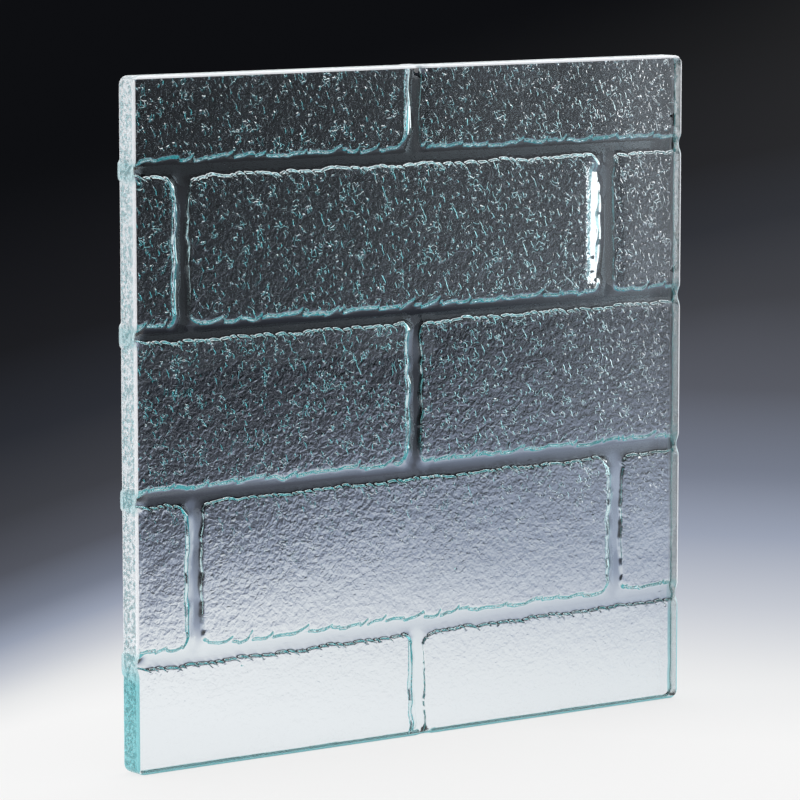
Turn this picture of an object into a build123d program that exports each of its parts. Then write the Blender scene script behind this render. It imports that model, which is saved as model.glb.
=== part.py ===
# Textured glass panel, kiln formed over a mould of bricks.
#
# A sheet of thick float glass was laid on bricks and heated until it sagged. Over each
# brick it stayed flat. Over each mortar joint it sank backwards as a low belly, which is
# a ridge on the back face and a shallow, soft groove in the front face. At the free edges
# of the sheet it sank further, so there the grooves run out into deeper dips. The broken
# edges of the bricks are printed along both sides of the ridges, as steep ragged steps.
#
# Frame: X runs across the panel, Y from its front face to its back face and Z up.
# The origin is the middle of the bottom edge, halfway through the sheet.
# Lengths are millimetres.
import os
from math import atan, cos, pi, sin

from build123d import *

# The sheet, and the ground arris round both of its faces
panel_width = 305.0
panel_height = 305.0
sheet_thickness = 12.0
corner_radius = 4.0
arris = 1.8

# Bed joints: height of the lowest, one course of bricks with its joint, and how far
# each joint climbs from the left edge of the panel to the right, from the lowest up
first_bed = 49.4
course_height = 71.5
bed_climbs = (1.8, 1.6, 0.3, -0.5)
bed_width = 9.0

# Head joints: one brick with its joint, and how far each course was laid off the bond,
# from the lowest course up
brick_length = 236.4
course_slips = (3.5, 0.2, 1.8, -5.7, 1.0)
head_width = 9.6
# The narrowest piece of brick that is left beside an edge of the panel
least_brick = 14.0

# How far the glass sank into a bed joint, behind and in front, and how much less into a
# head joint
ridge_height = 3.0
groove_depth = 0.6
head_shortfall = 0.25
# How much wider the soft groove in front is than the ridge behind it
groove_spread = 3.0
# The dips at the ends of the grooves: how deep and wide they are at the rim of the panel,
# and how far they reach in from it
dip_depth = 2.7
dip_width = 20.0
dip_reach = 8.0

# The broken edges of the bricks: how high they print, how ragged they are, over which
# waves and in which shares, how far apart their points stand, and how far the waves are
# turned from one edge to the next
step_height = 2.0
raggedness = 0.75
ragged_waves = (47.0, 23.0, 13.0)
ragged_shares = (0.45, 0.35, 0.3)
ragged_step = 5.5
ragged_turn = 3.0
# The worn corners of the bricks, and how far from a corner the ragged edge starts
corner_wear = 4.0
corner_reach = 6.5

# How far the cutters reach past the glass
cutter_room = 2.0
# How far in front of the face a groove's shoulders start, so that they cross it cleanly
shoulder_lead = 0.06

half_width = panel_width / 2
front_y = -sheet_thickness / 2
back_y = sheet_thickness / 2
crest_y = back_y + ridge_height
bed_count = int((panel_height - least_brick - first_bed) // course_height) + 1
# The arris leaves part of the edge flat, and part of each corner's curve
most_of_half = 0.45
most_of_corner = 0.9
rim_radius = min(arris, most_of_half * sheet_thickness, most_of_corner * corner_radius)


def ragged(along, seed):
    """How far a broken edge stands off its line, at a distance along it."""
    waves = zip(ragged_waves, ragged_shares)
    swings = [share * sin(2 * pi * along / wave + seed * (ragged_turn + share)) for wave, share in waves]
    return raggedness * sum(swings)


def stops(low, high, step):
    """Evenly spaced places from low to high, about a step apart."""
    count = max(round((high - low) / step), 1)
    return [low + (high - low) * i / count for i in range(count + 1)]


def bed_line(bed, across):
    """Height of the middle of a bed joint, at a distance across the panel."""
    climb = bed_climbs[bed % len(bed_climbs)]
    return first_bed + bed * course_height + climb * across / panel_width


def head_places(course):
    """Where the head joints of a course stand: every other course is laid half a brick on."""
    first = course_slips[course % len(course_slips)] + (course % 2) * brick_length / 2
    reach = int(panel_width // brick_length) + 1
    places = [first + brick * brick_length for brick in range(-reach, reach + 1)]
    return [place for place in places if abs(place) < half_width - least_brick]


def bed_side(bed, side, across):
    """Height of one side of a bed joint. The panel's own edges count as the first and last bed."""
    if bed < 0:
        return -cutter_room
    if bed >= bed_count:
        return panel_height + cutter_room
    return bed_line(bed, across) + side * bed_width / 2


def head_side(course, head, side):
    """Place of one side of a head joint. The panel's own edges count as the first and last head."""
    places = head_places(course)
    if head < 0:
        return -half_width - cutter_room
    if head >= len(places):
        return half_width + cutter_room
    return places[head] + side * head_width / 2


def brick_corners(course, brick):
    """The four corners of a brick before wear: low left, low right, high right and high left."""
    left = head_side(course, brick - 1, 1)
    right = head_side(course, brick, -1)
    low = [(across, bed_side(course - 1, 1, across)) for across in (left, right)]
    high = [(across, bed_side(course, -1, across)) for across in (right, left)]
    return low + high


def broken_edge(start, end, seed):
    """A brick's edge from corner to corner: straight beside the corners and ragged between them."""
    along = Vector(*end) - Vector(*start)
    direction = along.normalized()
    outwards = Vector(direction.Y, -direction.X)
    points = [start]
    for distance in stops(corner_reach, along.length - corner_reach, ragged_step):
        point = Vector(*start) + direction * distance + outwards * ragged(distance, seed)
        points.append((point.X, point.Y))
    return points


def brick_outline(course, brick):
    """The printed outline of one brick."""
    corners = brick_corners(course, brick)
    outline = []
    for side, start in enumerate(corners):
        end = corners[(side + 1) % len(corners)]
        outline += broken_edge(start, end, course + 2 * brick + 3 * side)
    return outline


def bricks():
    """Course and number of every brick that the panel lies on."""
    courses = range(bed_count + 1)
    return [(course, brick) for course in courses for brick in range(len(head_places(course)) + 1)]


def corners_on_panel():
    """The corners of the bricks that lie within the panel."""
    corners = [corner for brick in bricks() for corner in brick_corners(*brick)]
    return [(x, z) for x, z in corners if abs(x) < half_width and 0 < z < panel_height]


def bed_joint(bed):
    """The plane at the start of a bed joint, whose y is backwards, and the joint's length."""
    reach = half_width + cutter_room
    start = Vector(-reach, 0, bed_line(bed, -reach))
    run = Vector(reach, 0, bed_line(bed, reach)) - start
    return Plane(origin=start, x_dir=(0, 0, -1), z_dir=run), run.length


def head_joint(course, place):
    """The plane at the foot of a head joint, whose y is backwards, and the joint's length."""
    low = bed_line(course - 1, place) if course > 0 else -cutter_room
    high = bed_line(course, place) if course < bed_count else panel_height + cutter_room
    return Plane(origin=(place, 0, low), x_dir=(1, 0, 0), z_dir=(0, 0, 1)), high - low


def joints():
    """Plane, length, width and shortfall of every joint of the mould."""
    beds = [(*bed_joint(bed), bed_width, 0.0) for bed in range(bed_count)]
    courses = range(bed_count + 1)
    heads = [(course, place) for course in courses for place in head_places(course)]
    return beds + [(*head_joint(*head), head_width, head_shortfall) for head in heads]


def groove_ends():
    """Where the grooves run out at the panel's rim, and the way in from there."""
    ends = [((place, 0), (0, 1)) for place in head_places(0)]
    ends += [((place, panel_height), (0, -1)) for place in head_places(bed_count)]
    for bed in range(bed_count):
        ends += [((edge, bed_line(bed, edge)), (-edge / half_width, 0)) for edge in (-half_width, half_width)]
    return ends


# The low bellies that the glass sank into, one along each joint
with BuildPart() as bellies:
    for plane, length, width, shortfall in joints():
        rise = ridge_height - shortfall - step_height
        belly_radius = ((width / 2) ** 2 + rise**2) / (2 * rise)
        with BuildSketch(plane) as belly:
            with Locations((0, crest_y - shortfall - belly_radius)):
                Circle(belly_radius)
        extrude(amount=length)

# The ridges: what the bricks leave free, as high as the bellies, with the panel's own rim
with BuildPart() as ridges:
    with BuildSketch(Plane.XZ) as outline:
        with Locations((0, panel_height / 2)):
            RectangleRounded(panel_width, panel_height, corner_radius)
    extrude(amount=-crest_y)
    fillet(ridges.edges().group_by(Axis.Y)[-1], rim_radius)
    with BuildSketch(Plane.XZ) as brick_prints:
        for course, brick in bricks():
            with BuildLine() as brick_edges:
                Polyline(*brick_outline(course, brick), close=True)
            make_face()
        worn = [brick_prints.vertices().sort_by_distance(corner)[0] for corner in corners_on_panel()]
        fillet(worn, corner_wear)
    extrude(amount=-(crest_y + cutter_room), mode=Mode.SUBTRACT)
    add(bellies.part, mode=Mode.INTERSECT)

# The soft grooves in the front face: two shoulders and a round bottom, all tangent
with BuildPart() as grooves:
    for plane, length, width, shortfall in joints():
        half = (width + groove_spread) / 2
        top = front_y - shoulder_lead
        bottom = front_y + groove_depth - shortfall
        turn = (top + bottom) / 2
        with BuildSketch(plane) as groove:
            with BuildLine():
                TangentArc((-half, top), (-half / 2, turn), tangent=(1, 0))
                ThreePointArc((-half / 2, turn), (0, bottom), (half / 2, turn))
                TangentArc((half, top), (half / 2, turn), tangent=(-1, 0))
                Polyline((half, top), (half, top - cutter_room), (-half, top - cutter_room), (-half, top))
            make_face()
        extrude(amount=length)

# The dips at the ends of the grooves: round cuts that rise to the face as they go in
with BuildPart() as dips:
    dip_radius = ((dip_width / 2) ** 2 + dip_depth**2) / (2 * dip_depth)
    rise_angle = atan(dip_depth / dip_reach)
    dip_y = front_y + dip_depth - dip_radius / cos(rise_angle)
    for (x, z), (in_x, in_z) in groove_ends():
        way = Vector(in_x * cos(rise_angle), -sin(rise_angle), in_z * cos(rise_angle))
        start = Vector(x, dip_y, z) - way * cutter_room
        with BuildSketch(Plane(origin=start, x_dir=(in_z, 0, -in_x), z_dir=way)):
            Circle(dip_radius)
        extrude(amount=2 * cutter_room + dip_reach)

# The whole panel, all one piece of glass
with BuildPart() as glass_panel:
    with BuildSketch(Plane.XZ.offset(-back_y)) as sheet:
        with Locations((0, panel_height / 2)):
            RectangleRounded(panel_width, panel_height, corner_radius)
    extrude(amount=sheet_thickness)
    rims = glass_panel.edges().group_by(Axis.Y)
    fillet(rims[0] + rims[-1], rim_radius)
    add(ridges.part)
    add(grooves.part, mode=Mode.SUBTRACT)
    add(dips.part, mode=Mode.SUBTRACT)

glass_panel.part.label = "glass_panel"

os.makedirs("parts", exist_ok=True)
export_step(glass_panel.part, "parts/glass_panel.step")
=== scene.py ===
from math import pi, radians

import bpy
import numpy as np
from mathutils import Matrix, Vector


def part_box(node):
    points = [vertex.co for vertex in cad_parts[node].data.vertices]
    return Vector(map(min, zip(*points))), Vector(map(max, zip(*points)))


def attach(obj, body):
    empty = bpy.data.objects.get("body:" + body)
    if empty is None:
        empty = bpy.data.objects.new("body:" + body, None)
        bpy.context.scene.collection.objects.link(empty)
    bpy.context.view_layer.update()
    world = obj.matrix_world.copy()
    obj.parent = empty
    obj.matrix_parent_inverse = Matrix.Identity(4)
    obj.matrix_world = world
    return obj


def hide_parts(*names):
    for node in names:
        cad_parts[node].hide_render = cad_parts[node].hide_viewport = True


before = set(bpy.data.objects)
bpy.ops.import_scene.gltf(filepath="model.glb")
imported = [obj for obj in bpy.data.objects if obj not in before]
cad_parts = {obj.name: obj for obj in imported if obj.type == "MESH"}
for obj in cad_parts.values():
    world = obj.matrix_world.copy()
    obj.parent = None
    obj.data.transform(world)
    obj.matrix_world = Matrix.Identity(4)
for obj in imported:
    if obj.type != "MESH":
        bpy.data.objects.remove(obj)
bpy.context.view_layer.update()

mm = 0.001

# The sheet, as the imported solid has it
sheet_low, sheet_high = (np.array(corner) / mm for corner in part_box("glass_panel"))
half_width = sheet_high[0]
panel_height = sheet_high[2]
front_y = sheet_low[1]
back_y = -front_y
crest_y = sheet_high[1]
panel_width = 2 * half_width
# The ground arris round both faces, its facets, and the corners of the sheet
arris = 1.1
arris_steps = 4
corner_radius = 4.0
# How far everything stays inside the solid's box
clear = 0.01

# The mould: its bed joints and head joints lie where the solid has them
bed_count = 4
first_bed = 49.4
course_height = 71.5
bed_climbs = (1.8, 1.6, 0.3, -0.5)
bed_width = 9.0
brick_length = 236.4
course_slips = (3.5, 0.2, 1.8, -5.7, 1.0)
head_width = 9.6
least_brick = 14.0
corner_wear = 4.0
# The soft grooves in front: shallow over the bricks, and deeper where they run out at the rim.
# Where two of them cross, the deeper one counts, the more so the higher this power is.
groove_depth = 0.15
groove_half = 6.0
groove_end_depth = 2.4
groove_end_half = 5.4
groove_end_reach = 7.0
groove_cross = 4

# The broken edges of the bricks: the long waves that the solid has too
raggedness = 0.75
ragged_waves = (47.0, 23.0, 13.0)
ragged_shares = (0.45, 0.35, 0.3)
ragged_turn = 3.0
# The crumbs along those edges, as pairs of length and depth, which are too fine for the solid
crumbs = ((5.0, 0.30), (2.6, 0.25), (1.4, 0.12))
# The flakes off those edges: shortest, longest and deepest, and how they bend. A lower edge
# rises along each flake to a hook, and an upper edge is left as round humps with nicks between,
# which lean over by this much. The shallowest flake is this share of the deepest.
hooks = (9.0, 22.0, 3.2)
hook_bend = 7.0
slants = (7.0, 16.0, 1.3)
slant_bend = 1.0
humps = (2.0, 8.0, 2.2)
hump_bend = 6.0
hump_lean = 1.0
least_flake = 0.1
# Seeds: each edge's crumbs are this far from the next edge's, then come those of the flakes,
# of the walls' change of width, and of the relief behind and in front
crumb_seeds = 100
hook_seed = 70
slant_seed = 75
hump_seed = 80
wall_seed = 11
field_seed = 20
front_seed = 40

# How far the glass sank into the joints: less in a bed joint than midway up a head joint, and
# how far from a bed joint the one starts to turn into the other and ends to
bed_sag = 1.45
head_sag = 2.6
sag_turn = (5.5, 26.0)
# The glass stands steeply off a brick's level edges and its left edge, in a straight narrow
# wall with small rounds at its foot and head. The wall over a top edge is narrower and lower.
# Beside a right edge the glass levels out slowly, over the slow reach and with this power.
wall_width = 1.45
top_wall_width = 0.9
top_steepness = 0.88
wall_round = 0.12
slow_reach = 1.8
slow_bend = 1.3
# The walls grow wider and narrower by this share, over about this length
wall_change = 0.25
wall_change_length = 5.0
# How much higher the middle of a joint sags than its sides
belly_rise = 0.25
# One upright edge is worn to a long slope: its course and brick, its width and its height
worn_brick = (3, 1)
worn_width = 7.0
worn_rise = 1.8

# The relief of the fields: lumps as pairs of width and height, and the same for the front
field_lumps = ((34.0, 0.10), (9.0, 0.05), (4.2, 0.05), (2.4, 0.05))
front_waves = ((42.0, 0.05), (17.0, 0.03))

# The mesh: how far apart its points stand before it is thinned, across it, beside the bed
# joints and over the fields, how far from a bed joint they are close, and its triangles after
column_gap = 0.46
joint_gap = 0.27
field_gap = 0.7
joint_reach = 8.6
triangle_count = 190000
# The middle of the faces, and how far their grid reaches from it, sideways, up and down
middle_z = panel_height / 2
face_reach = half_width - clear - arris
# A length so small that it counts as nothing, but can be divided by
tiny = 1e-9


def lumps(x, z, size, seed):
    """Smooth seeded noise from -1 to 1, whose lumps are about as wide as size."""
    column, across = np.divmod((x + panel_width) / size, 1)
    row, up = np.divmod((z + panel_width) / size, 1)
    knots = np.random.default_rng(seed).uniform(-1, 1, (int(row.max()) + 2, int(column.max()) + 2))
    across, up = (share * share * (3 - 2 * share) for share in (across, up))
    column, row = column.astype(int), row.astype(int)
    low = knots[row, column] * (1 - across) + knots[row, column + 1] * across
    high = knots[row + 1, column] * (1 - across) + knots[row + 1, column + 1] * across
    return low * (1 - up) + high * up


def rounded_off(value, roundness):
    """The value where it is above nought, and nought below, with a round where the two meet."""
    return (value + np.hypot(value, roundness)) / 2


def bed_line(bed, x):
    """Height of the middle of a bed joint."""
    return first_bed + bed * course_height + bed_climbs[bed] * x / panel_width


def head_places(course):
    """Where the head joints of a course stand: every other course is half a brick on."""
    first = course_slips[course] + (course % 2) * brick_length / 2
    places = [first + brick * brick_length for brick in (-1, 0, 1)]
    return [place for place in places if abs(place) < half_width - least_brick]


def broken(along, seed):
    """How far a brick's broken edge stands out of its line, at a distance along it."""
    waves = zip(ragged_waves, ragged_shares)
    swings = [share * np.sin(2 * pi * along / wave + seed * (ragged_turn + share)) for wave, share in waves]
    edge = raggedness * sum(swings)
    still = np.zeros_like(along)
    for number, (length, depth) in enumerate(crumbs):
        edge = edge + depth * lumps(along, still, length, crumb_seeds * seed + number)
    return edge


def flaked(across, seed, sizes, bend, both_ends=False):
    """How deep the flakes off a level edge are, each deepest at its right end or at both ends."""
    shortest, longest, deepest = sizes
    rolls = np.random.default_rng(seed)
    starts = -panel_width + np.cumsum(rolls.uniform(shortest, longest, int(2 * panel_width / shortest)))
    depths = deepest * rolls.uniform(least_flake, 1, len(starts))
    flake = np.clip(np.searchsorted(starts, across) - 1, 0, len(starts) - 2)
    share = (across - starts[flake]) / (starts[flake + 1] - starts[flake])
    if both_ends:
        share = abs(2 * share - 1)
    return depths[flake] * np.clip(share, 0, 1) ** bend


def brick_gap(x, z, course, brick):
    """How far each point lies outside the print of one brick, and how steep and wide its wall is."""
    places = head_places(course)
    left = places[brick - 1] + head_width / 2 if brick > 0 else -panel_width
    right = places[brick] - head_width / 2 if brick < len(places) else panel_width
    low = bed_line(course - 1, x) + bed_width / 2 if course > 0 else -panel_height + 0 * x
    high = bed_line(course, x) - bed_width / 2 if course < bed_count else 2 * panel_height + 0 * x

    # How far outside each of the four broken edges: the lower, right, upper and left one
    first = course + 2 * brick
    lower_seed, right_seed, upper_seed, left_seed = (first + 3 * side for side in range(4))
    rise = flaked(x, first + hook_seed, hooks, hook_bend) + flaked(x, first + slant_seed, slants, slant_bend)
    below = low - z - broken(x - left, lower_seed) + rise
    leaning = x + hump_lean * (z - high)
    nicks = flaked(leaning, first + hump_seed, humps, hump_bend, both_ends=True)
    above = z - high - broken(right - x, upper_seed) + nicks
    before = left - x - broken(high - z, left_seed)
    after = x - right - broken(z - low, right_seed)

    # The worn corners, and the walls that stand round them
    across = np.maximum(before, after) + corner_wear
    up = np.maximum(below, above) + corner_wear
    reach = np.hypot(np.maximum(across, 0), np.maximum(up, 0))
    steep = np.where(before > after, 1.0, np.clip(up, 0, None) / np.maximum(reach, corner_wear))
    on_top = above > below
    steep = steep * np.where(on_top & (before < up), top_steepness, 1.0)
    width = np.where(on_top, top_wall_width, wall_width)
    return reach + np.minimum(np.maximum(across, up), 0) - corner_wear, steep, width


def nearest_brick(x, z):
    """How far each point lies outside the nearest brick, and how steep and wide its wall is."""
    courses = range(bed_count + 1)
    bricks = [(course, brick) for course in courses for brick in range(len(head_places(course)) + 1)]
    found = [np.stack(kind) for kind in zip(*(brick_gap(x, z, *brick) for brick in bricks))]
    nearest = np.argmin(found[0], axis=0)[None]
    return [np.take_along_axis(kind, nearest, 0)[0] for kind in found]


def groove(distance, near_rim):
    """The soft groove in front of a joint, which deepens and narrows near the rim."""
    half = groove_half + (groove_end_half - groove_half) * near_rim
    depth = groove_depth + (groove_end_depth - groove_depth) * near_rim
    return depth * (1 + np.cos(pi * np.clip(distance / half, -1, 1))) / 2


def joints(x, z):
    """For every joint, the distance of each point from its middle, and the joint's width."""
    for bed in range(bed_count):
        yield z - bed_line(bed, x), bed_width
    for course in range(bed_count + 1):
        beyond_low = np.maximum(bed_line(course - 1, x) - z, 0) if course > 0 else 0
        beyond_high = np.maximum(z - bed_line(course, x), 0) if course < bed_count else 0
        for place in head_places(course):
            yield np.hypot(x - place, beyond_low + beyond_high), head_width


def worn_slope(x, z):
    """The long slope up to the right edge of the worn brick."""
    course, brick = worn_brick
    edge = head_places(course)[brick] - head_width / 2
    inside = np.minimum(z - bed_line(course - 1, x), bed_line(course, x) - z) - bed_width / 2
    share = np.clip(1 - (edge - x) / worn_width, 0, 1) * np.clip(inside / worn_width, 0, 1)
    return worn_rise * np.where(x < edge + worn_width, share, 0)


def joint_sag(x, z):
    """How far the glass sank into the joints, from a bed joint to midway up a head joint."""
    from_bed = np.minimum.reduce([abs(z - bed_line(bed, x)) for bed in range(bed_count)])
    turned = np.clip((from_bed - sag_turn[0]) / (sag_turn[1] - sag_turn[0]), 0, 1)
    return bed_sag + (head_sag - bed_sag) * turned * turned * (3 - 2 * turned)


def back_face(x, z):
    """The back face: flat fields where bricks lay, ridges where the glass sank between them."""
    belly = [np.clip(1 - (distance / width * 2) ** 2, 0, 1) for distance, width in joints(x, z)]
    gap, steep, width = nearest_brick(x, z)
    change = 1 + wall_change * lumps(x, z, wall_change_length, wall_seed)
    left = width * change - rounded_off(gap, wall_round)
    straight = 1 - rounded_off(left, wall_round) / (width * change)
    slow = 1 - np.exp(-((np.maximum(gap, 0) / slow_reach / change) ** slow_bend))
    wall = steep * straight + (1 - steep) * slow
    ridge = joint_sag(x, z) * wall + (1 - wall) * worn_slope(x, z) + belly_rise * np.maximum.reduce(belly)
    relief = sum(height * lumps(x, z, size, field_seed + n) for n, (size, height) in enumerate(field_lumps))
    field = np.clip(-gap, 0, 1)
    return np.minimum(back_y + ridge + relief * field, crest_y - clear)


def front_face(x, z):
    """The front face: fire polished, with a soft groove in front of every joint."""
    inside = np.minimum(half_width - abs(x), np.minimum(z, panel_height - z))
    near_rim = np.clip(1 - inside / groove_end_reach, 0, 1) ** 2
    dips = sum(groove(distance, near_rim) ** groove_cross for distance, _ in joints(x, z))
    waves = enumerate(front_waves)
    wave = sum(height * (1 + lumps(x, z, size, front_seed + n)) for n, (size, height) in waves)
    return front_y + clear + dips ** (1 / groove_cross) + wave


def grid_lines():
    """Where the columns and rows of the mesh lie, with the rows closer beside the bed joints."""
    columns = np.linspace(-face_reach, face_reach, round(2 * face_reach / column_gap) + 1)
    beds = [first_bed + bed * course_height for bed in range(bed_count)]
    stops = [middle_z - face_reach, middle_z + face_reach]
    stops += [bed + side * joint_reach for bed in beds for side in (-1, 1)]
    stops.sort()
    rows = []
    for number, (low, high) in enumerate(zip(stops, stops[1:])):
        gap = joint_gap if number % 2 else field_gap
        rows += list(np.linspace(low, high, round((high - low) / gap) + 1)[:-1])
    return columns[None, :], np.array(rows + stops[-1:])[:, None]


def ring(grid):
    """The outermost places of a square grid in order, once round."""
    return np.concatenate([grid[0, :-1], grid[:-1, -1], grid[-1, :0:-1], grid[:0:-1, 0]])


def round_corners(x, z):
    """The grid about its middle with its corners rounded, and the way outwards from its edge."""
    turn = corner_radius - arris
    across, up = x + 0 * z, z - middle_z + 0 * x
    flat = np.stack([np.clip(way, turn - face_reach, face_reach - turn) for way in (across, up)])
    out = np.stack([across, up]) - flat
    length = np.maximum(np.hypot(*out), tiny)
    across, up = flat + out * np.max(abs(out), axis=0) / length
    return across, up, ring(out[0] / length), ring(out[1] / length)


def build_sheet():
    """Points and faces of the closed sheet: two faces on one grid, and the rim between them."""
    x, z = grid_lines()
    front, back = front_face(x, z), back_face(x, z)
    across, up, out_x, out_z = round_corners(x, z)
    edge_x, edge_z = ring(across), ring(up)

    points = [np.stack([across.ravel(), y.ravel(), up.ravel() + middle_z], 1) for y in (front, back)]
    angles = np.linspace(0, pi / 2, arris_steps + 1)[1:]
    sections = [(ring(front) + arris * (1 - np.cos(a)), arris * np.sin(a)) for a in angles]
    sections += [(ring(back) - arris * (1 - np.cos(a)), arris * np.sin(a)) for a in angles[::-1]]
    for y, away in sections:
        points.append(np.stack([edge_x + away * out_x, y, edge_z + away * out_z + middle_z], 1))

    number = np.arange(front.size).reshape(front.shape)
    corners = [number[:-1, :-1], number[:-1, 1:], number[1:, 1:], number[1:, :-1]]
    cells = np.stack(corners, -1).reshape(-1, 4)
    around = len(edge_x)
    first_section = 2 * front.size
    rings = [ring(number)]
    rings += [first_section + n * around + np.arange(around) for n in range(len(sections))]
    rings += [ring(number) + front.size]
    faces = [cells, cells[:, ::-1] + front.size]
    for near, far in zip(rings, rings[1:]):
        faces.append(np.stack([near, far, np.roll(far, -1), np.roll(near, -1)], 1))
    return np.concatenate(points) * mm, np.concatenate(faces)


def smooth_mesh(name, points, faces):
    """A mesh of those points and four-sided faces, shaded smooth."""
    mesh = bpy.data.meshes.new(name)
    mesh.vertices.add(len(points))
    mesh.vertices.foreach_set("co", points.astype(np.float32).ravel())
    mesh.loops.add(faces.size)
    mesh.loops.foreach_set("vertex_index", faces.astype(np.int32).ravel())
    mesh.polygons.add(len(faces))
    mesh.polygons.foreach_set("loop_start", np.arange(0, faces.size, 4, dtype=np.int32))
    mesh.update(calc_edges=True)
    mesh.shade_smooth()
    return mesh


def thinned(piece, target):
    """The piece's mesh with about the target number of triangles, fewest where it is flattest."""
    triangles = 2 * len(piece.data.polygons)
    thinning = piece.modifiers.new("thinning", "DECIMATE")
    thinning.ratio = target / triangles
    whole = bpy.context.evaluated_depsgraph_get()
    mesh = bpy.data.meshes.new_from_object(piece.evaluated_get(whole))
    piece.modifiers.clear()
    return mesh


def linear(hex_colour):
    """A colour written as sRGB hex, in the linear values that Blender takes."""
    parts = [int(hex_colour[place : place + 2], 16) / 255 for place in (1, 3, 5)]
    return [part / 12.92 if part <= 0.04045 else ((part + 0.055) / 1.055) ** 2.4 for part in parts] + [1.0]


def add(tree, kind, feeds=None, **settings):
    """Adds a node with its settings, and feeds its inputs with other nodes' outputs or plain values.

    An input goes by its name, or by its number where several share a name. A map range takes
    its value as 0, from the span between 1 and 2 to the one between 3 and 4.
    """
    node = tree.nodes.new(kind)
    for name, value in settings.items():
        setattr(node, name, value)
    for name, value in (feeds or {}).items():
        if isinstance(value, bpy.types.NodeSocket):
            tree.links.new(value, node.inputs[name])
        else:
            node.inputs[name].default_value = value
    return node


def new_material(name):
    """An empty material, its nodes and its output."""
    material = bpy.data.materials.new(name)
    material.use_nodes = True
    tree = material.node_tree
    tree.nodes.clear()
    return material, tree, add(tree, "ShaderNodeOutputMaterial")


# The sockets of a colour mix: its two colours and what comes out
mix_first = 6
mix_second = 7
mix_result = 2

# Soda-lime glass: a trace of tint on its faces, and the teal that depth gives it
glass_ior = 1.52
face_colour = "#FFFAFD"
depth_colour = "#72E0E3"
depth_density = 12.0

# The clay's print behind: how far back it fades in, and where it ends on the ridges
print_start = (4.6 * mm, 5.7 * mm)
print_end = (6.3 * mm, 6.9 * mm)
# Its grain, and the specks that lean, in degrees, with the part of their noise that stands out
grain_size = 1.9 * mm
grain_height = 0.32 * mm
speck_lean = 24
speck_size = (1.6 * mm, 2.9 * mm, 2.9 * mm)
speck_part = (0.67, 0.78)
speck_height = 0.30 * mm
# Its curled worms: the middle of their noise, within this much of it, and in patches only
worm_size = 3.4 * mm
worm_middle = 0.5
worm_part = 0.05
worm_height = 0.20 * mm
patch_size = 4.5 * mm
patch_part = (0.59, 0.66)
# The lowest bricks were the smoothest: how high up the marks and the grain are all there, and
# the grain's share below
marks_rise = (60 * mm, 160 * mm)
grain_rise = (60 * mm, 150 * mm)
low_grain = 0.75

# The ground rim: how far in it ends, its roughness, and its white mottle. The belt's grit is
# far too fine to show, so the mottle is drawn this coarse.
ground_edge = (1.0 * mm, 1.3 * mm)
ground_roughness = 0.35
mottle_size = 1.6 * mm
mottle_part = (0.42, 0.58)
mottle_white = (0.3, 0.85)
# Its arrises are whitest: how far they lie from the middle of the sheet, and how white they are
arris_start = (4.5 * mm, 4.9 * mm)
arris_white = 0.95

# The teal painted on the upper flanks of the ridges, for light that ran far inside the glass: how much they
# face up, and how far back
painted_flank_teal = "#1F8F99"
flank_slope = (0.16, 0.34)
flank_start = (6.05 * mm, 6.2 * mm)
# The teal painted on the rim, for light that ran far inside the glass: all of it low down, more
# in bands where the grooves run out, and a little elsewhere
painted_rim_teal = "#84CBD1"
band_reach = (3.0 * mm, 7.0 * mm)
band_share = 0.55
low_rim = (40 * mm, 56 * mm)
rim_share = 0.16


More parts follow.
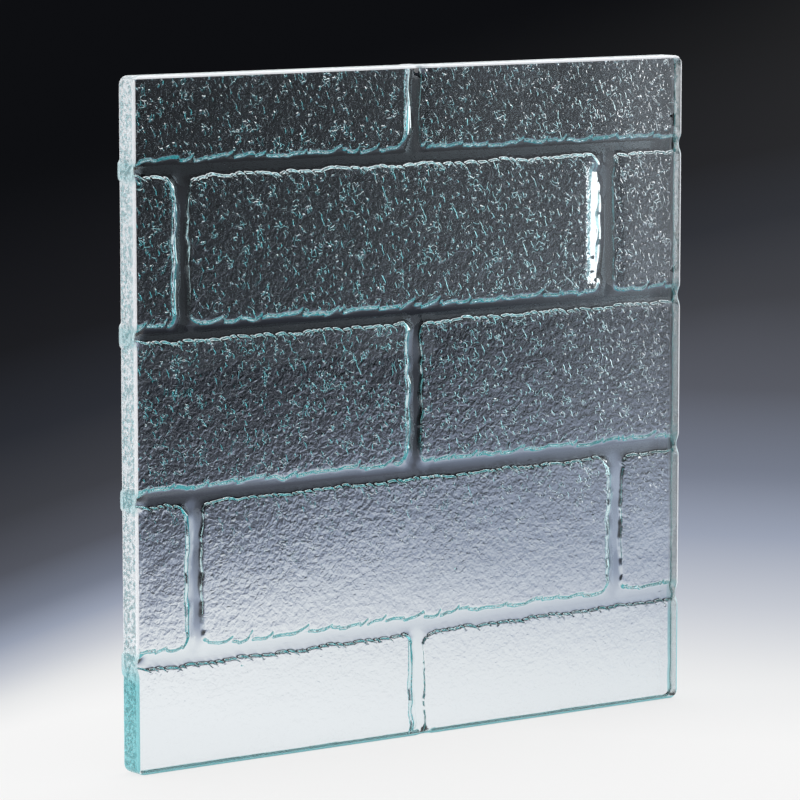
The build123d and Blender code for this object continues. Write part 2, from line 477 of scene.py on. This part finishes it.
def clay_print(tree, place, parts):
    """The height that the fired clay printed into the back: fine grain, leaning specks and worms."""
    behind, up = parts["Y"], parts["Z"]
    # The clay touched the glass on the fields only, and neither the rim nor the ridges
    touched = {0: behind, 1: print_start[0], 2: print_start[1]}
    touched = add(tree, "ShaderNodeMapRange", touched).outputs[0]
    free = {0: behind, 1: print_end[0], 2: print_end[1], 3: 1.0, 4: 0.0}
    free = add(tree, "ShaderNodeMapRange", free).outputs[0]
    on_field = add(tree, "ShaderNodeMath", {0: touched, 1: free}, operation="MULTIPLY").outputs[0]

    # The specks are turned first and stretched after, so that they lean along their length
    leaning = {0: place, "Rotation": (0, radians(speck_lean), 0)}
    leaning = add(tree, "ShaderNodeMapping", leaning).outputs[0]
    stretched = {0: leaning, "Scale": tuple(1 / size for size in speck_size)}
    stretched = add(tree, "ShaderNodeMapping", stretched).outputs[0]
    specks = {"Vector": stretched, "Scale": 1.0, "Detail": 0.0, "Distortion": 0.3}
    specks = add(tree, "ShaderNodeTexNoise", specks).outputs[0]
    specks = {0: specks, 1: speck_part[0], 2: speck_part[1]}
    specks = add(tree, "ShaderNodeMapRange", specks).outputs[0]

    worms = {"Vector": place, "Scale": 1 / worm_size, "Detail": 0.0, "Distortion": 1.0}
    worms = add(tree, "ShaderNodeTexNoise", worms).outputs[0]
    worms = add(tree, "ShaderNodeMath", {0: worms, 1: worm_middle}, operation="SUBTRACT").outputs[0]
    worms = add(tree, "ShaderNodeMath", {0: worms}, operation="ABSOLUTE").outputs[0]
    worms = {0: worms, 1: 0.0, 2: worm_part, 3: 1.0, 4: 0.0}
    worms = add(tree, "ShaderNodeMapRange", worms).outputs[0]
    patches = {"Vector": place, "Scale": 1 / patch_size, "Detail": 0.0}
    patches = add(tree, "ShaderNodeTexNoise", patches).outputs[0]
    patches = {0: patches, 1: patch_part[0], 2: patch_part[1]}
    patches = add(tree, "ShaderNodeMapRange", patches).outputs[0]
    worms = add(tree, "ShaderNodeMath", {0: worms, 1: patches}, operation="MULTIPLY").outputs[0]

    # Specks and worms together, and none of them on the lowest bricks
    marks = add(tree, "ShaderNodeMath", {0: worms, 1: worm_height}, operation="MULTIPLY").outputs[0]
    marks = {0: specks, 1: speck_height, 2: marks}
    marks = add(tree, "ShaderNodeMath", marks, operation="MULTIPLY_ADD").outputs[0]
    marked = add(tree, "ShaderNodeMapRange", {0: up, 1: marks_rise[0], 2: marks_rise[1]}).outputs[0]
    marks = add(tree, "ShaderNodeMath", {0: marks, 1: marked}, operation="MULTIPLY").outputs[0]

    grain = {"Vector": place, "Scale": 1 / grain_size, "Detail": 1.2, "Distortion": 0.5}
    grain = add(tree, "ShaderNodeTexNoise", grain).outputs[0]
    grain = add(tree, "ShaderNodeMath", {0: grain, 1: grain_height}, operation="MULTIPLY").outputs[0]
    grained = {0: up, 1: grain_rise[0], 2: grain_rise[1], 3: low_grain, 4: 1.0}
    grained = add(tree, "ShaderNodeMapRange", grained).outputs[0]
    height = {0: grain, 1: grained, 2: marks}
    height = add(tree, "ShaderNodeMath", height, operation="MULTIPLY_ADD").outputs[0]
    return add(tree, "ShaderNodeMath", {0: height, 1: on_field}, operation="MULTIPLY").outputs[0]


def ground_rim(tree, parts):
    """Where the rim is ground: 1 on the rim and its arrises, and 0 on the two faces."""
    side = add(tree, "ShaderNodeMath", {0: parts["X"]}, operation="ABSOLUTE").outputs[0]
    side = add(tree, "ShaderNodeMath", {0: half_width * mm, 1: side}, operation="SUBTRACT").outputs[0]
    top = {0: panel_height * mm, 1: parts["Z"]}
    top = add(tree, "ShaderNodeMath", top, operation="SUBTRACT").outputs[0]
    inside = add(tree, "ShaderNodeMath", {0: side, 1: top}, operation="MINIMUM").outputs[0]
    inside = add(tree, "ShaderNodeMath", {0: inside, 1: parts["Z"]}, operation="MINIMUM").outputs[0]
    ground = {0: inside, 1: ground_edge[0], 2: ground_edge[1], 3: 1.0, 4: 0.0}
    return add(tree, "ShaderNodeMapRange", ground).outputs[0]


def ground_white(tree, place, parts, ground):
    """How white the belt left the rim: whitest on its arrises, and mottled on the flat between."""
    mottle = {"Vector": place, "Scale": 1 / mottle_size, "Detail": 2.0}
    mottle = add(tree, "ShaderNodeTexNoise", mottle).outputs[0]
    mottle = {0: mottle, 1: mottle_part[0], 2: mottle_part[1], 3: mottle_white[0], 4: mottle_white[1]}
    mottle = add(tree, "ShaderNodeMapRange", mottle).outputs[0]
    off_middle = add(tree, "ShaderNodeMath", {0: parts["Y"]}, operation="ABSOLUTE").outputs[0]
    cut = {0: off_middle, 1: arris_start[0], 2: arris_start[1]}
    cut = add(tree, "ShaderNodeMapRange", cut).outputs[0]
    cut = add(tree, "ShaderNodeMath", {0: cut, 1: arris_white}, operation="MULTIPLY").outputs[0]
    white = add(tree, "ShaderNodeMath", {0: cut, 1: mottle}, operation="MAXIMUM").outputs[0]
    white = add(tree, "ShaderNodeMath", {0: white, 1: ground}, operation="MULTIPLY").outputs[0]
    # From within the glass, the rim gleams as a dull mirror instead
    within = add(tree, "ShaderNodeNewGeometry").outputs["Backfacing"]
    outside = add(tree, "ShaderNodeMath", {0: 1.0, 1: within}, operation="SUBTRACT").outputs[0]
    return add(tree, "ShaderNodeMath", {0: white, 1: outside}, operation="MULTIPLY").outputs[0]


def flanks_painted_teal_share(tree, normal, behind):
    """Where the upper flanks of the ridges are, on which teal is painted for light that ran far inside the
    glass.
    """
    # From within the glass the normal is turned round, and so are both parts, but not their product
    facing = add(tree, "ShaderNodeSeparateXYZ", {0: normal}).outputs
    upwards = {0: facing["Y"], 1: facing["Z"]}
    upwards = add(tree, "ShaderNodeMath", upwards, operation="MULTIPLY").outputs[0]
    upwards = {0: upwards, 1: flank_slope[0], 2: flank_slope[1]}
    upwards = add(tree, "ShaderNodeMapRange", upwards).outputs[0]
    on_ridge = {0: behind, 1: flank_start[0], 2: flank_start[1]}
    on_ridge = add(tree, "ShaderNodeMapRange", on_ridge).outputs[0]
    return add(tree, "ShaderNodeMath", {0: upwards, 1: on_ridge}, operation="MULTIPLY").outputs[0]


def rim_painted_teal_share(tree, up, ground):
    """How much painted teal the rim shows at each height, for light that ran far inside the glass."""
    from_bed = add(tree, "ShaderNodeMath", {0: up, 1: first_bed * mm}, operation="SUBTRACT").outputs[0]
    from_bed = {0: from_bed, 1: course_height / 2 * mm}
    from_bed = add(tree, "ShaderNodeMath", from_bed, operation="PINGPONG").outputs[0]
    bands = {0: from_bed, 1: band_reach[0], 2: band_reach[1], 3: band_share, 4: 0.0}
    bands = add(tree, "ShaderNodeMapRange", bands).outputs[0]
    lowest = {0: up, 1: low_rim[0], 2: low_rim[1], 3: 1.0, 4: rim_share}
    lowest = add(tree, "ShaderNodeMapRange", lowest).outputs[0]
    tinted = add(tree, "ShaderNodeMath", {0: lowest, 1: bands}, operation="MAXIMUM").outputs[0]
    return add(tree, "ShaderNodeMath", {0: tinted, 1: ground}, operation="MULTIPLY").outputs[0]


def cast_glass():
    """Clear soda-lime glass, kiln formed over fired clay.

    Its front is fire polished and mirrors the room. Its back has the fine grain of the clay,
    which sparkles where the light comes from the side. Its rim was ground with a belt, so it
    is satin and a little white, and teal is painted on it for light that ran far inside the glass.
    """
    material, tree, output = new_material("kiln_formed_soda_lime_glass")
    where = add(tree, "ShaderNodeTexCoord").outputs
    parts = add(tree, "ShaderNodeSeparateXYZ", {0: where["Object"]}).outputs
    bump = {"Height": clay_print(tree, where["Object"], parts), "Strength": 1.0, "Distance": 1.0}
    bump = add(tree, "ShaderNodeBump", bump).outputs[0]
    ground = ground_rim(tree, parts)
    rough = add(tree, "ShaderNodeMath", {0: ground, 1: ground_roughness}, operation="MULTIPLY").outputs[0]
    white = ground_white(tree, where["Object"], parts, ground)
    see_through = add(tree, "ShaderNodeMath", {0: 1.0, 1: white}, operation="SUBTRACT").outputs[0]

    # Teal painted on the upper flanks of the ridges, for light that ran far inside the glass
    flanks = flanks_painted_teal_share(tree, where["Normal"], parts["Y"])
    colour = {0: flanks, mix_first: linear(face_colour), mix_second: linear(painted_flank_teal)}
    colour = add(tree, "ShaderNodeMix", colour, data_type="RGBA").outputs[mix_result]
    # Teal painted on the rim, for light that ran far inside the glass
    tint = rim_painted_teal_share(tree, parts["Z"], ground)
    colour = {0: tint, mix_first: colour, mix_second: linear(painted_rim_teal)}
    colour = add(tree, "ShaderNodeMix", colour, data_type="RGBA").outputs[mix_result]

    glass = {"Base Color": colour, "Roughness": rough, "IOR": glass_ior}
    glass |= {"Transmission Weight": see_through, "Normal": bump}
    glass = add(tree, "ShaderNodeBsdfPrincipled", glass).outputs[0]
    depth = {"Color": linear(depth_colour), "Density": depth_density}
    depth = add(tree, "ShaderNodeVolumeAbsorption", depth).outputs[0]
    tree.links.new(glass, output.inputs["Surface"])
    tree.links.new(depth, output.inputs["Volume"])
    return material


def make_panel():
    """The panel: one closed sheet of glass."""
    piece = bpy.data.objects.new("cast_glass_sheet", smooth_mesh("cast_glass_sheet", *build_sheet()))
    bpy.context.scene.collection.objects.link(piece)
    piece.data = thinned(piece, triangle_count)
    piece.data.materials.append(cast_glass())
    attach(piece, "root")
    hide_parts("glass_panel")


# The studio floor: pale paper with a pool of light and a dark room painted on it, a hair's breadth under the
# panel
floor_size = 60.0
floor_drop = 0.0002
# The pool of light painted on it: its middle, how many degrees its long middle line turns from X
# towards the back, and how much longer than wide it is. In front of that line the painted light
# goes on this far, and then falls off at this share of the rate behind the line.
pool_middle = (-0.81, -0.47)
pool_turn = 39.0
pool_stretch = 9.6
pool_front_start = 0.33
pool_front = 0.4
# The painted tones of the pool of light and of the dark room beyond it, each with how far it lies behind the
# middle line
pool_tones = (
    (0.10, "#F0F0F0"),
    (0.115, "#E2E3E4"),
    (0.135, "#BDC1CA"),
    (0.16, "#9098AA"),
    (0.185, "#6B7282"),
    (0.23, "#4B4E58"),
    (0.30, "#35373E"),
    (0.42, "#20232B"),
    (0.60, "#121318"),
    (1.20, "#0E0F12"),
)
pool_reach = pool_tones[-1][0]
# A glow of light painted over the right of the floor: where it starts and ends, as x less y, and its tone
painted_glow_span = (-1.5, 1.3)
painted_glow = 0.033
# The share of its tone that the paper shows by itself. The rest of it is lit, and takes shadow.
paper_glow = 0.88

# The card in front: its tint, how far it stands away and how high, and its brightness along x
card_tint = "#E6F0FA"
front_card_y = -1.2
front_card_height = 0.5
front_card_tones = (
    (0.34, 0.25),
    (0.61, 0.32),
    (0.79, 0.42),
    (0.92, 0.75),
    (1.04, 1.1),
    (1.1, 2.2),
    (1.42, 3.0),
)
# A smaller card stands nearer, whose sheen lies on the lower right of the glass
near_card_y = -0.35
near_card_height = 0.15
near_card_tones = ((0.26, 0.0), (0.34, 0.35), (0.40, 1.0), (0.44, 1.4), (0.6, 1.6))

# The softboxes: width, height, place and brightness. All of them face the middle of the panel.
softboxes = {
    "right_softbox": (2.0, 1.2, (1.4, 0.17, 0.6), 1.7),
    "top_softbox": (1.4, 1.2, (0.3, 0.3, 1.2), 1.3),
    "back_softbox": (1.4, 0.7, (0.95, 1.25, 0.85), 1.0),
    "left_softbox": (0.9, 1.0, (-1.1, 1.2, 0.5), 1.0),
    "side_softbox": (0.8, 0.8, (-1.0, 0.1, 0.55), 1.1),
}
panel_middle = (0, 0, 0.15)
room_seen = "#0E0E0F"
room_light = "#EEEEEE"

# The camera: its lens in millimetres, its place, and how far it looks down and to the right
lens_length = 202.5
sensor_width = 36.0
camera_place = (-1.196, -1.629, 0.413)
camera_fall = 7.317
camera_turn = 36.131

# Light goes on between the faces of the sheet for a long way
most_bounces = 24
most_mirrorings = 16


def paper_painted_with_light_pool():
    """Matt paper with a pool of light painted on it: white in the pool, fading to night blue for the dark
    room.
    """
    material, tree, output = new_material("matt_paper_painted_light_pool")
    place = add(tree, "ShaderNodeTexCoord").outputs["Object"]
    moved = {0: place, 1: (*pool_middle, 0)}
    moved = add(tree, "ShaderNodeVectorMath", moved, operation="SUBTRACT").outputs[0]
    turned = {0: moved, "Rotation": (0, 0, -radians(pool_turn))}
    turned = add(tree, "ShaderNodeMapping", turned).outputs[0]
    flat = add(tree, "ShaderNodeSeparateXYZ", {0: turned}).outputs
    along = add(tree, "ShaderNodeMath", {0: flat["X"], 1: 1 / pool_stretch}, operation="MULTIPLY").outputs[0]
    front = {0: flat["Y"], 1: -pool_front, 2: -pool_front * pool_front_start}
    front = add(tree, "ShaderNodeMath", front, operation="MULTIPLY_ADD").outputs[0]
    across = add(tree, "ShaderNodeMath", {0: flat["Y"], 1: front}, operation="MAXIMUM").outputs[0]
    across = add(tree, "ShaderNodeMath", {0: across, 1: 0.0}, operation="MAXIMUM").outputs[0]
    away = add(tree, "ShaderNodeCombineXYZ", {0: along, 1: across}).outputs[0]
    away = add(tree, "ShaderNodeVectorMath", {0: away}, operation="LENGTH").outputs["Value"]
    away = add(tree, "ShaderNodeMath", {0: away, 1: pool_reach}, operation="DIVIDE").outputs[0]
    ramp = add(tree, "ShaderNodeValToRGB", {0: away})
    stops = ramp.color_ramp.elements
    while len(stops) < len(pool_tones):
        stops.new(1.0)
    for stop, (reach, tone) in zip(stops, pool_tones):
        stop.position = reach / pool_reach
        stop.color = linear(tone)

    # A glow of light painted over the right of the floor
    flat = add(tree, "ShaderNodeSeparateXYZ", {0: place}).outputs
    beside = add(tree, "ShaderNodeMath", {0: flat["X"], 1: flat["Y"]}, operation="SUBTRACT").outputs[0]
    painted_glow_share = {0: beside, 1: painted_glow_span[0], 2: painted_glow_span[1], 4: painted_glow}
    painted_glow_share = add(tree, "ShaderNodeMapRange", painted_glow_share, interpolation_type="SMOOTHSTEP").outputs[0]
    tone = add(tree, "ShaderNodeVectorMath", {0: ramp.outputs[0], 1: painted_glow_share}).outputs[0]

    # Seen by itself, mirrored or through the glass, the paper shows its tone, and it takes shadow
    rays = add(tree, "ShaderNodeLightPath").outputs
    seen = {0: rays["Is Camera Ray"], 1: rays["Is Glossy Ray"]}
    seen = add(tree, "ShaderNodeMath", seen, operation="MAXIMUM").outputs[0]
    seen = {0: seen, 1: rays["Is Transmission Ray"]}
    seen = add(tree, "ShaderNodeMath", seen, operation="MAXIMUM").outputs[0]
    shown = add(tree, "ShaderNodeMath", {0: seen, 1: paper_glow}, operation="MULTIPLY").outputs[0]
    paper = add(tree, "ShaderNodeBsdfDiffuse", {"Color": tone}).outputs[0]
    glow = add(tree, "ShaderNodeEmission", {"Color": tone}).outputs[0]
    mixed = add(tree, "ShaderNodeMixShader", {0: shown, 1: paper, 2: glow}).outputs[0]
    tree.links.new(mixed, output.inputs["Surface"])
    return material


def lay_floor():
    """The floor that the panel stands on."""
    reach = floor_size / 2
    ways = ((-1, -1), (1, -1), (1, 1), (-1, 1))
    corners = [(x * reach, y * reach, -floor_drop) for x, y in ways]
    mesh = bpy.data.meshes.new("floor")
    mesh.from_pydata(corners, [], [(0, 1, 2, 3)])
    floor = bpy.data.objects.new("floor", mesh)
    floor.data.materials.append(paper_painted_with_light_pool())
    bpy.context.scene.collection.objects.link(floor)


def graded_card(name, tones):
    """A lit card, painted from its tone at one place along x to the next."""
    material, tree, output = new_material(name)
    place = add(tree, "ShaderNodeTexCoord").outputs["Object"]
    along = add(tree, "ShaderNodeSeparateXYZ", {0: place}).outputs["X"]
    first, last = tones[0][0], tones[-1][0]
    brightest = max(tone for _, tone in tones)
    share = add(tree, "ShaderNodeMapRange", {0: along, 1: first, 2: last}).outputs[0]
    ramp = add(tree, "ShaderNodeFloatCurve", {"Value": share})
    curve = ramp.mapping.curves[0]
    for spot, tone in tones[1:-1]:
        curve.points.new((spot - first) / (last - first), tone / brightest)
    curve.points[0].location = (0, tones[0][1] / brightest)
    for point in curve.points:
        point.handle_type = "VECTOR"
    ramp.mapping.update()
    strength = {0: ramp.outputs[0], 1: brightest}
    strength = add(tree, "ShaderNodeMath", strength, operation="MULTIPLY").outputs[0]
    lit = add(tree, "ShaderNodeEmission", {"Color": linear(card_tint), "Strength": strength}).outputs[0]
    tree.links.new(lit, output.inputs["Surface"])
    return material


def stand_card(name, y, height, tones):
    """A card in front of the panel, out of the camera's sight, whose sheen lies on the glass."""
    low, high = tones[0][0], tones[-1][0]
    mesh = bpy.data.meshes.new(name)
    mesh.from_pydata([(low, y, 0), (low, y, height), (high, y, height), (high, y, 0)], [], [(0, 1, 2, 3)])
    card = bpy.data.objects.new(name, mesh)
    card.data.materials.append(graded_card(name + "_paint", tones))
    card.visible_camera = False
    bpy.context.scene.collection.objects.link(card)


def hang_softbox(name, width, height, place, brightness):
    """A soft rectangular lamp, whose face is as bright as brightness times white."""
    lamp = bpy.data.lights.new(name, "AREA")
    lamp.shape = "RECTANGLE"
    lamp.size = width
    lamp.size_y = height
    lamp.energy = brightness * width * height * pi
    softbox = bpy.data.objects.new(name, lamp)
    softbox.location = place
    softbox.rotation_euler = (Vector(place) - Vector(panel_middle)).to_track_quat("Z", "Y").to_euler()
    bpy.context.scene.collection.objects.link(softbox)


def paint_room():
    """The room: dark where it is seen or mirrored, and an even light on what is matt."""
    room = bpy.data.worlds.new("room")
    room.use_nodes = True
    tree = room.node_tree
    tree.nodes.clear()
    rays = add(tree, "ShaderNodeLightPath").outputs
    dark = add(tree, "ShaderNodeBackground", {"Color": linear(room_seen)}).outputs[0]
    even = add(tree, "ShaderNodeBackground", {"Color": linear(room_light)}).outputs[0]
    mixed = add(tree, "ShaderNodeMixShader", {0: rays["Is Diffuse Ray"], 1: dark, 2: even}).outputs[0]
    add(tree, "ShaderNodeOutputWorld", {"Surface": mixed})
    bpy.context.scene.world = room


def place_camera():
    """The camera at the photograph's angle: from the front left, a little above the panel."""
    lens = bpy.data.cameras.new("camera")
    lens.lens = lens_length
    lens.sensor_width = sensor_width
    camera = bpy.data.objects.new("camera", lens)
    camera.location = camera_place
    camera.rotation_euler = (radians(90 - camera_fall), 0, radians(-camera_turn))
    bpy.context.scene.collection.objects.link(camera)
    bpy.context.scene.camera = camera


make_panel()
lay_floor()
stand_card("front_card", front_card_y, front_card_height, front_card_tones)
stand_card("near_card", near_card_y, near_card_height, near_card_tones)
for name, softbox in softboxes.items():
    hang_softbox(name, *softbox)
paint_room()
place_camera()

scene = bpy.context.scene
scene.view_settings.view_transform = "Standard"
scene.cycles.max_bounces = most_bounces
scene.cycles.glossy_bounces = most_mirrorings
scene.cycles.transmission_bounces = most_mirrorings
